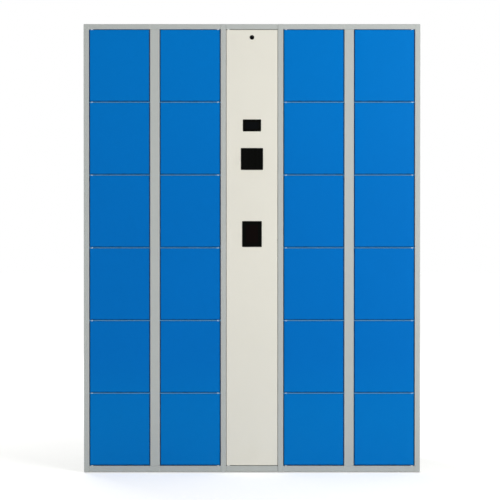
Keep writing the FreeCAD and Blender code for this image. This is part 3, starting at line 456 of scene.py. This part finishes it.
frame_grey = PowderCoat("frame_grey", GREY, roughness=0.42, gloss=0.10)
across = abs(abs(frame_grey.x) - cabinet_middle)
from_post = frame_grey.least(abs(across - post_near), abs(across - cabinet_half))
from_corner = frame_grey.least(abs(across - bar_half), from_post)
at_front = 1 - frame_grey.ramp(frame_grey.y, cad_low.y, cad_low.y + 2 * CORNER_BAND)
highlight_patches = frame_grey.ramp(frame_grey.noise(HIGHLIGHT_GRAINS, detail=4), 0.42, 0.68)
# painted highlight: lighter grey in patches along the upright front corners
frame_grey.retone(HIGHLIGHT_GREY, (1 - frame_grey.ramp(from_corner, 0.0, CORNER_BAND)) * at_front * highlight_patches)
dress(frame_grey, *FRAME_NODES)
print("frame grey on", len(FRAME_NODES), "nodes; bar corners at", round(bar_half, 4), "m")

# %% [markdown]
# Between two doors the thin front edge of a shelf shows as a pale blue line, a painted highlight where the
# doors' edges catch the light. It is part of the grey shelves, so a second share of tone paints only that
# edge: on the shelf levels, between the bar and the post, and no further back than the nose of the shelf.

# %% Paint a highlight on the shelf edges
SHELF_EDGE_HIGHLIGHT = paint(122, 188, 236)
NOSE_BAND = 1.5 * MILLIMETRE

from_row = abs((frame_grey.z - row_start + row_pitch / 2) % row_pitch - row_pitch / 2)
inner_row = abs(frame_grey.z - cad_middle.z) < (row_end - row_start - row_pitch) / 2
beside_door = (across > bar_half) * (across < post_near) * (frame_grey.y < door_front + NOSE_BAND)
# painted highlight: pale blue on the shelf noses between the doors
frame_grey.retone(SHELF_EDGE_HIGHLIGHT, (from_row < NOSE_BAND) * inner_row * beside_door)
print("pale edges on", 2 * (ROWS - 1), "shelf levels")

# %% [markdown]
# Each door is a folded pan in a strong blue. The blue is a little paler on the upper rows, a painted
# highlight for the stronger light from above, and a little greener on the lowest row, a painted reflection
# of the pale floor. A colour for each door would leave steps between them, so the height of a point says how
# much of each tone is mixed in.

# %% Paint the doors
BLUE, TOP_LIT_BLUE, FLOOR_LIT_BLUE = paint(0, 113, 197), paint(0, 124, 208), paint(0, 123, 201)
TOP_LIT_SHARE, FLOOR_LIT_SHARE = 0.6, 0.6
FLOOR_LIT_FULL_TO, FLOOR_LIT_GONE_FROM = row_start + 0.6 * row_pitch, row_start + 1.6 * row_pitch

door_blue = PowderCoat("door_blue", BLUE, roughness=0.38, gloss=0.04, dusty=0.01)
upper_rows = door_blue.ramp(door_blue.z, cad_middle.z, row_end)
lowest_row = 1 - door_blue.ramp(door_blue.z, FLOOR_LIT_FULL_TO, FLOOR_LIT_GONE_FROM)
# painted highlight: paler blue on the upper rows
door_blue.retone(TOP_LIT_BLUE, TOP_LIT_SHARE * upper_rows)
# painted reflection of the floor: greener blue on the lowest row
door_blue.retone(FLOOR_LIT_BLUE, FLOOR_LIT_SHARE * lowest_row)
dress(door_blue, *(name for name, *_ in door_places()))
print("blue on", ROWS * COLUMNS, "doors, floor_lit below", round(FLOOR_LIT_FULL_TO, 3), "m")

# %% [markdown]
# A dark blue line of painted shade runs down the sides of each door and along its foot, where the folded
# edges turn into the gaps away from the light. The free edge is where hands pull the door, and there the
# coat is polished. Both follow from a point's distance to the edges of its own door, and one sum serves
# all the doors, because they repeat by row and mirror by column.

# %% Shade the door edges and polish the free edge
SHADED_EDGE_BLUE, EDGE_SHADE_SHARE = paint(10, 64, 112), 0.85
EDGE_SHADE_GRAINS = 60
EDGE_BAND, FOLD = 7 * MILLIMETRE, 2 * MILLIMETRE
SIDE_SHADE_OFFSET = 2 * MILLIMETRE
HAND_BAND, HAND_POLISH = 70 * MILLIMETRE, 0.07

across = abs(abs(door_blue.x) - cabinet_middle)
from_foot = (door_blue.z - row_start) % row_pitch - head_gap
from_free = across - door_near
from_sides = door_blue.least(from_free, door_far - across)
from_edge = door_blue.least(from_sides + SIDE_SHADE_OFFSET, from_foot)
patchy = 0.7 + 0.3 * door_blue.ramp(door_blue.noise(EDGE_SHADE_GRAINS, detail=4), 0.4, 0.65)
by_edge = 1 - door_blue.ramp(from_edge, 0.25 * EDGE_BAND, EDGE_BAND)
on_front = 1 - door_blue.ramp(door_blue.y, door_front + FOLD, door_front + 2 * FOLD)
# painted shade: dark blue along each door's sides and foot
door_blue.retone(SHADED_EDGE_BLUE, EDGE_SHADE_SHARE * by_edge * on_front * patchy)
held = 1 - door_blue.ramp(from_free, 0.0, HAND_BAND)
door_blue.set(Roughness=door_blue.dullness - HAND_POLISH * held)
print("painted_shade within", EDGE_BAND / MILLIMETRE, "mm of the edges, polish within", HAND_BAND / MILLIMETRE, "mm")

# %% [markdown]
# The plate that a lock grips, the strike, is bare zinc. It is in one node with its painted door, but only
# the strike lies behind the return lips, so the depth of a point tells them apart.

# %% Bare the strikes
ZINC = paint(152, 157, 162)
STRIKE_LENGTH = 26 * MILLIMETRE

strike_start = door_back - STRIKE_LENGTH


def show_zinc(coat):
    """Leave the strike behind a door's lips bare: zinc plate instead of paint."""
    zinc = coat.y > strike_start
    coat.set(Base_Color=coat.mix(coat.tone, ZINC, zinc), Metallic=zinc)


show_zinc(door_blue)
print("strikes start at y", round(strike_start, 4))

# %% [markdown]
# The service door in front of the control column takes the same kind of coat in a warm cream, a little
# smoother. People touch it round the keypad, so there it is polished and a touch darker.

# %% Paint the service door
CREAM, TOUCHED_CREAM = paint(236, 233, 221), paint(226, 221, 206)
TOUCHED, TOUCHED_SHARE = 110 * MILLIMETRE, 0.3
FINGER_GRAINS = 40

low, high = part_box("keypad_bezel")
keypad_middle = (low + high) / 2
panel_cream = PowderCoat("panel_cream", CREAM, roughness=0.36, gloss=0.08, dusty=0.03)
from_keypad = panel_cream.distance(panel_cream.x - keypad_middle.x, panel_cream.z - keypad_middle.z)
near_keypad = 1 - panel_cream.ramp(from_keypad, 0.3 * TOUCHED, TOUCHED)
fingers = near_keypad * panel_cream.noise(FINGER_GRAINS, detail=4)
panel_cream.retone(TOUCHED_CREAM, TOUCHED_SHARE * fingers)
show_zinc(panel_cream)
dress(panel_cream, "service_door")
print("cream on the service door, touched within", TOUCHED / MILLIMETRE, "mm of the keypad's middle")

# %% [markdown]
# Zinc plate on pins and bolts is metal with a cloudy, faintly drawn gloss. The same finish in another tone
# does for bare aluminium, so it is a class of its own.

# %% Plate the metal
PLATE_CLOUD_GRAINS, LINE_GRAINS = 60, 900
LINES_UP = (1, 1, 0.05)
LINE_DEPTH, LINE_STRENGTH = 0.02 * MILLIMETRE, 0.3
PLATE_DARKER, PLATE_LIGHTER = 0.85, 1.1


class Plated(Finish):
    """Bare or plated metal: cloudy, with fine drawn lines."""

    def __init__(self, name, colour, roughness):
        super().__init__(name)
        cloud = self.noise(PLATE_CLOUD_GRAINS, detail=3)
        lines = self.noise(LINE_GRAINS, detail=2, stretch=LINES_UP)
        self.tone = self.mix(shade(colour, PLATE_DARKER), shade(colour, PLATE_LIGHTER), cloud)
        self.dullness = roughness + 0.15 * cloud + 0.08 * lines
        self.set(Base_Color=self.tone, Metallic=1.0, Roughness=self.dullness,
                 Normal=self.bump(lines, LINE_DEPTH, LINE_STRENGTH))


zinc_steel = Plated("zinc_steel", paint(158, 163, 168), roughness=0.28)
dress(zinc_steel, "hinge_pins", "joining_bolts")
print("zinc on the hinge pins and the joining bolts")

# %% [markdown]
# The moulded pieces differ in colour, gloss and grain only: nylon bushes are milky, rubber is almost black
# and dull, and a bezel has the fine grain of a spark-eroded mould. One class takes the three as numbers.

# %% Mould the small pieces
MOULD_CLOUD_GRAINS = 25
GRAIN_DEPTH, GRAIN_STRENGTH = 0.04 * MILLIMETRE, 0.4
MOULD_DARKER, MOULD_LIGHTER = 0.9, 1.1


class Moulded(Finish):
    """A moulded plastic or rubber: even colour, fine grain, slight unevenness of gloss."""

    def __init__(self, name, colour, roughness, grain, gloss):
        super().__init__(name)
        fine = self.noise(grain, detail=2)
        cloud = self.noise(MOULD_CLOUD_GRAINS, detail=2)
        self.tone = self.mix(shade(colour, MOULD_DARKER), shade(colour, MOULD_LIGHTER), cloud)
        self.dullness = roughness + 0.1 * fine
        self.set(Base_Color=self.tone, Roughness=self.dullness, Specular_IOR_Level=gloss,
                 Normal=self.bump(fine, GRAIN_DEPTH, GRAIN_STRENGTH))


grommet_rubber = Moulded("grommet_rubber", paint(26, 26, 25), roughness=0.7, grain=1200, gloss=0.2)
bezel_black = Moulded("bezel_black", paint(9, 9, 7), roughness=0.45, grain=1800, gloss=0.03)
nylon_white = Moulded("nylon_white", paint(240, 242, 240), roughness=0.42, grain=700, gloss=0.3)
lock_black = Moulded("lock_black", paint(30, 31, 32), roughness=0.5, grain=1500, gloss=0.3)
foot_plastic = Moulded("foot_plastic", paint(34, 35, 36), roughness=0.6, grain=1200, gloss=0.3)
dress(grommet_rubber, "cable_grommet")
dress(bezel_black, "display_bezel", "keypad_bezel", "scanner_bezel", "camera_housing")
dress(nylon_white, "hinge_bushes")
dress(lock_black, "lock_units")
dress(foot_plastic, "levelling_feet")
print("so far", len(bpy.data.materials), "materials")

# %% [markdown]
# Display, keypad and scanner are switched off, and sit behind smoked acrylic that hides them almost
# wholly. Up close a little can be made out: the edge of the display's glass, the rings of the twelve
# touch keys, and the deep red filter over the scanner. All three are only a shade off black, so from where
# the camera stands the windows stay plain, as they are in the photograph.

# %% Smoke the windows
SMOKE, KEY_RINGS = paint(5, 6, 4), paint(16, 17, 17)
SCREEN, RED_FILTER = paint(8, 10, 12), paint(11, 5, 4)
KEYS_ACROSS, KEYS_UP = 3, 4
KEY_RADIUS, KEY_LINE = 7 * MILLIMETRE, 0.5 * MILLIMETRE
SCREEN_MARGIN, FILTER_MARGIN = 5 * MILLIMETRE, 10 * MILLIMETRE

window_black = Moulded("window_black", SMOKE, roughness=0.08, grain=300, gloss=0.03)
low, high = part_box("keypad_glass")
cell_across, cell_up = (high.x - low.x) / KEYS_ACROSS, (high.z - low.z) / KEYS_UP
key_x = (window_black.x - low.x) % cell_across - cell_across / 2
key_z = (window_black.z - low.z) % cell_up - cell_up / 2
from_ring = abs(window_black.distance(key_x, key_z) - KEY_RADIUS)
rings = (from_ring < KEY_LINE) * window_black.within("keypad_glass", 0.0)
glass = window_black.mix(window_black.tone, KEY_RINGS, rings)
glass = window_black.mix(glass, SCREEN, window_black.within("display_glass", SCREEN_MARGIN))
glass = window_black.mix(glass, RED_FILTER, window_black.within("scanner_glass", FILTER_MARGIN))
window_black.set(Base_Color=glass)
dress(window_black, "display_glass", "keypad_glass", "scanner_glass")
print("keys every", round(cell_across / MILLIMETRE, 1), "by", round(cell_up / MILLIMETRE, 1), "mm")

# %% [markdown]
# The camera's small lens is black glass with a violet coating that shows round a black pupil, inside a
# blackened ring with fine grooves that swallow stray light. The distance from the lens's own axis draws
# all three.

# %% Coat the lens
PUPIL_BLACK, VIOLET, GROOVE_BLACK = paint(3, 3, 4), paint(12, 7, 20), paint(8, 8, 8)
PUPIL, COATING = 1.6 * MILLIMETRE, 3.4 * MILLIMETRE
GROOVE = 0.4 * MILLIMETRE
POLISHED, RING_DULLER = 0.04, 0.4

low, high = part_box("camera_lens")
lens_middle = (low + high) / 2
lens_glass = Moulded("lens_glass", PUPIL_BLACK, roughness=POLISHED, grain=300, gloss=0.03)
from_axis = lens_glass.distance(lens_glass.x - lens_middle.x, lens_glass.z - lens_middle.z)
past_pupil = lens_glass.ramp(from_axis, PUPIL, 1.2 * PUPIL)
coated = past_pupil * (1 - lens_glass.ramp(from_axis, 0.9 * COATING, COATING))
on_ring = from_axis > COATING
grooved = on_ring * ((from_axis % GROOVE) < 0.5 * GROOVE)
glass = lens_glass.mix(lens_glass.tone, VIOLET, coated)
lens_glass.set(Base_Color=lens_glass.mix(glass, GROOVE_BLACK, grooved),
               Roughness=POLISHED + RING_DULLER * on_ring)
dress(lens_glass, "camera_lens")
print("lens:", round((high.x - low.x) / MILLIMETRE, 1), "mm across")

# %% [markdown]
# Behind the service door hangs the board that drives the locks. Its green lacquer lies over copper tracks,
# which show as lighter lines, with rows of tinned spots between them. Noise decides whether a patch of
# the board has upright or level tracks, which looks less like a grid than one kind all over.

# %% Lacquer the board
TRACK_GREEN, TIN = paint(40, 128, 78), paint(186, 188, 182)
TRACK_PITCH, SPOT_PITCH = 2.5 * MILLIMETRE, 5 * MILLIMETRE
TRACK_WIDTH, SPOT_RADIUS = 0.3 * TRACK_PITCH, 0.16 * SPOT_PITCH
PATCH_GRAINS = 28

board_green = Moulded("board_green", paint(16, 84, 46), roughness=0.35, grain=1200, gloss=0.4)
upright_here = board_green.noise(PATCH_GRAINS, detail=1) > 0.5
upright = (board_green.x % TRACK_PITCH < TRACK_WIDTH) * upright_here
level = (board_green.z % TRACK_PITCH < TRACK_WIDTH) * (1 - upright_here)
spot_x = board_green.x % SPOT_PITCH - SPOT_PITCH / 2
spot_z = board_green.z % SPOT_PITCH - SPOT_PITCH / 2
spots = board_green.distance(spot_x, spot_z) < SPOT_RADIUS
lacquer = board_green.mix(board_green.tone, TRACK_GREEN, upright + level)
lacquer = board_green.mix(lacquer, TIN, spots)
print("board: tracks every", TRACK_PITCH / MILLIMETRE, "mm")

# %% [markdown]
# The parts on the board stand in front of the lacquer, so depth parts them from it. Their distance from
# the middle line says what they are: processor and capacitors in the middle, relays beside them, and
# terminal strips outside. The capacitors stand out furthest, and their ends are bare aluminium.

# %% Colour the parts on the board
CHIP_BLACK, CAN_METAL = paint(22, 22, 24), paint(168, 172, 174)
RELAY_BLUE, STRIP_GREEN = paint(28, 70, 132), paint(38, 118, 62)
RELAYS_FROM, STRIPS_FROM = 20 * MILLIMETRE, 55 * MILLIMETRE
BOARD_DEPTH, SKIN = 12 * MILLIMETRE, 0.3 * MILLIMETRE

low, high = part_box("control_board")
board_front = high.y - BOARD_DEPTH
from_line = abs(board_green.x)
can_end = (board_green.y < low.y + SKIN) * (board_green.z < (low.z + high.z) / 2)
part = board_green.mix(CHIP_BLACK, CAN_METAL, can_end)
part = board_green.mix(part, RELAY_BLUE, from_line > RELAYS_FROM)
part = board_green.mix(part, STRIP_GREEN, from_line > STRIPS_FROM)
raised = board_green.y < board_front - SKIN
board_green.set(Base_Color=board_green.mix(lacquer, part, raised))
dress(board_green, "control_board")
print("board:", round((high.x - low.x) / MILLIMETRE), "by", round((high.z - low.z) / MILLIMETRE), "mm")

# %% [markdown]
# The power supply has a case of bare drawn aluminium. The terminal strip at its foot is black plastic with
# a steel screw between every two ribs. Height tells the strip from the case, and the screws repeat across
# it.

# %% Finish the power supply
ALUMINIUM, STRIP_BLACK = paint(178, 182, 184), paint(24, 24, 25)
FLANGE, STRIP, CASE_SHEET = 14 * MILLIMETRE, 24 * MILLIMETRE, 1.5 * MILLIMETRE
TERMINALS, TERMINAL_SCREW = 7, 3.2 * MILLIMETRE
PLASTIC_DULLER = 0.15

low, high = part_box("power_supply")
supply_metal = Plated("supply_metal", ALUMINIUM, roughness=0.35)
strip_middle = low.z + FLANGE + STRIP / 2
on_strip = (abs(supply_metal.z - strip_middle) < STRIP / 2) * (supply_metal.y < high.y - CASE_SHEET)
terminal = (high.x - low.x) / TERMINALS
screw_x = (supply_metal.x - low.x) % terminal - terminal / 2
screw = supply_metal.distance(screw_x, supply_metal.z - strip_middle) < TERMINAL_SCREW
plastic = on_strip * (1 - screw)
supply_metal.set(Base_Color=supply_metal.mix(supply_metal.tone, STRIP_BLACK, plastic),
                 Metallic=1 - plastic, Roughness=supply_metal.dullness + PLASTIC_DULLER * plastic)
dress(supply_metal, "power_supply")
print("supply:", TERMINALS, "terminals of", round(terminal / MILLIMETRE, 1), "mm")

# %% [markdown]
# Buffers, rivets and screws are all round heads on an upright sheet. Each starts as a low cylinder on its
# sheet, and then its outer face is drawn in and raised, step by step, as a lathe would turn it. A
# revolved outline would do as well, but an inset with a depth gives the same rings with fewer moves.

# %% Turn round heads
DISC = 0.3 * MILLIMETRE
SQUARELY = 0.9
SOFT_EDGE = math.radians(35)


def pick_faces(chosen):
    """In edit mode, select only the faces that pass a test."""
    bpy.ops.mesh.select_all(action="DESELECT")
    bpy.ops.mesh.select_mode(type="FACE")
    mesh = bmesh.from_edit_mesh(bpy.context.object.data)
    for face in mesh.faces:
        if chosen(face):
            face.select_set(True)
    bmesh.update_edit_mesh(bpy.context.object.data)


def turn_head(name, place, radius, sides, facing, steps):
    """A round head on a sheet, facing the front (-1) or the back (1); steps are (draw in, raise) pairs."""
    bpy.ops.object.select_all(action="DESELECT")
    middle = place + Vector((0, facing * DISC / 2, 0))
    bpy.ops.mesh.primitive_cylinder_add(vertices=sides, radius=radius, depth=DISC, location=middle,
                                        rotation=(math.pi / 2, 0, 0))
    head = bpy.context.object
    head.name = head.data.name = name
    bpy.ops.object.transform_apply(location=True, rotation=True, scale=True)
    bpy.ops.object.mode_set(mode="EDIT")
    pick_faces(lambda face: face.normal.y * facing > SQUARELY)
    for draw_in, raised in steps:
        bpy.ops.mesh.inset(thickness=draw_in, depth=raised)
    bpy.ops.object.mode_set(mode="OBJECT")
    bpy.ops.object.shade_smooth_by_angle(angle=SOFT_EDGE)
    return head


print("heads start as discs of", DISC / MILLIMETRE, "mm")

# %% [markdown]
# A head is turned once and then copied to all of its places. Copies that move together are joined to one
# piece, which rides on a body of the frame and takes its finish from one of the record's slots.

# %% Copy and fit heads
def repeat_head(head, shifts):
    """Copy a finished head by each shift, and join the copies to it as one piece."""
    made = []
    for shift in shifts:
        bpy.ops.object.select_all(action="DESELECT")
        head.select_set(True)
        bpy.context.view_layer.objects.active = head
        bpy.ops.object.duplicate(linked=False)
        bpy.ops.transform.translate(value=shift)
        made.append(bpy.context.object)
    for copy in made:
        copy.select_set(True)
    head.select_set(True)
    bpy.context.view_layer.objects.active = head
    bpy.ops.object.join()
    bpy.ops.object.transform_apply(location=True, rotation=True, scale=True)


def fit(piece, finish, body):
    """Give a piece its finish, and let it ride on a body."""
    piece.data.materials.clear()
    piece.data.materials.append(finish.material)
    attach(piece, body)
    print(piece.name, "rides on", body, "with", len(piece.data.polygons), "faces")


print("heads are copied, joined and fitted")

# %% [markdown]
# A steel door that shuts on a steel ledge rings like a bell, so two domed rubber buffers take each door,
# near the ends of the ledge beside the lock. They stand a little lower than the gap between the ledge and
# the closed door, and they stay on the cabinet when the door opens.

# %% Stick on the buffers
BUFFER_RADIUS, BUFFER_SIDES = 4.8 * MILLIMETRE, 16
BUFFER_STEPS = ((0.5 * MILLIMETRE, 0.9 * MILLIMETRE), (0.8 * MILLIMETRE, 0.6 * MILLIMETRE),
                (1.0 * MILLIMETRE, 0.3 * MILLIMETRE), (1.2 * MILLIMETRE, 0.1 * MILLIMETRE))
BUFFER_FROM_END = 40 * MILLIMETRE
TO_FRONT, TO_BACK = -1, 1

land_middle = (bar_half + land_half) / 2
buffer_places = [Vector((middle + side * land_middle, ledge_y, foot + height))
                 for _, side, middle, foot in door_places()
                 for height in (BUFFER_FROM_END, row_pitch - BUFFER_FROM_END)]
buffers = turn_head("door_buffers", buffer_places[0], BUFFER_RADIUS, BUFFER_SIDES, TO_FRONT, BUFFER_STEPS)
repeat_head(buffers, [place - buffer_places[0] for place in buffer_places[1:]])
fit(buffers, grommet_rubber, "cabinet")

# %% [markdown]
# Two low screws hold each lock to the back of its ledge, above and below the slot for the strike. The
# head is drawn in to a rounded rim and an almost flat top, and the last step sinks a round socket into it.

# %% Drive in the lock screws
SCREW_RADIUS, SCREW_SIDES = 3.5 * MILLIMETRE, 12
SCREW_STEPS = ((0.5 * MILLIMETRE, 0.5 * MILLIMETRE), (1.1 * MILLIMETRE, 0.1 * MILLIMETRE),
               (0.15 * MILLIMETRE, -0.6 * MILLIMETRE))
SCREW_FROM_MIDDLE = 26 * MILLIMETRE

screw_places = [Vector((middle + side * land_middle, ledge_y, foot + row_pitch / 2 + height))
                for _, side, middle, foot in door_places()
                for height in (-SCREW_FROM_MIDDLE, SCREW_FROM_MIDDLE)]
screws = turn_head("lock_screws", screw_places[0], SCREW_RADIUS, SCREW_SIDES, TO_FRONT, SCREW_STEPS)
repeat_head(screws, [place - screw_places[0] for place in screw_places[1:]])
fit(screws, zinc_steel, "cabinet")

# %% [markdown]
# Two flat rivets hold each strike to its door's lip. They move with the door, so every door gets a pair
# of its own. The service door has the same strike, and the same pair.

# %% Rivet the strikes
RIVET_RADIUS, RIVET_SIDES = 2.6 * MILLIMETRE, 12
RIVET_STEPS = ((0.6 * MILLIMETRE, 0.2 * MILLIMETRE), (0.9 * MILLIMETRE, 0.1 * MILLIMETRE))
RIVET_FROM_MIDDLE = 16.5 * MILLIMETRE
STRIKE_FOOT = 2 * MILLIMETRE
LIP = 12 * MILLIMETRE

strike_foot_back = strike_start + STRIKE_FOOT
service_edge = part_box("service_door")[1].x
rivet_places = [(name, Vector((middle + side * (door_near + LIP / 2), strike_foot_back,
                               foot + row_pitch / 2)))
                for name, side, middle, foot in door_places()]
service_place = Vector((service_edge - LIP / 2, strike_foot_back, (row_start + row_end) / 2))
rivet_places.append(("service_door", service_place))
for body, place in rivet_places:
    lower = place - Vector((0, 0, RIVET_FROM_MIDDLE))
    rivets = turn_head(f"{body}_rivets", lower, RIVET_RADIUS, RIVET_SIDES, TO_BACK, RIVET_STEPS)
    repeat_head(rivets, [Vector((0, 0, 2 * RIVET_FROM_MIDDLE))])
    fit(rivets, zinc_steel, body)

# %% [markdown]
# The flanges of the shelves and of the upright partition are riveted to the back sheet, which shows as
# level and upright rows of small domes on the rear side. The rows follow the shelf levels. Such rivets are
# set before the cabinet is sprayed, so they wear its grey coat.

# %% Rivet the backs
BACK_RIVET_RADIUS = 3.0 * MILLIMETRE
BACK_RIVET_STEPS = ((0.4 * MILLIMETRE, 0.6 * MILLIMETRE), (0.8 * MILLIMETRE, 0.4 * MILLIMETRE),
                    (0.9 * MILLIMETRE, 0.15 * MILLIMETRE))
SHELF_RIVETS = (-0.22, -0.08, 0.08, 0.22)
PARTITION_RIVETS = 12

cabinets = (-cabinet_middle, cabinet_middle)
spacing = (row_end - row_start) / PARTITION_RIVETS
back_places = [Vector((middle + across, back_sheet_y, row_start + row * row_pitch))
               for middle in cabinets for row in range(1, ROWS) for across in SHELF_RIVETS]
back_places += [Vector((middle, back_sheet_y, row_start + (index + 0.5) * spacing))
                for middle in cabinets for index in range(PARTITION_RIVETS)]
back_rivets = turn_head("back_rivets", back_places[0], BACK_RIVET_RADIUS, RIVET_SIDES, TO_BACK,
                        BACK_RIVET_STEPS)
repeat_head(back_rivets, [place - back_places[0] for place in back_places[1:]])
fit(back_rivets, frame_grey, "cabinet")
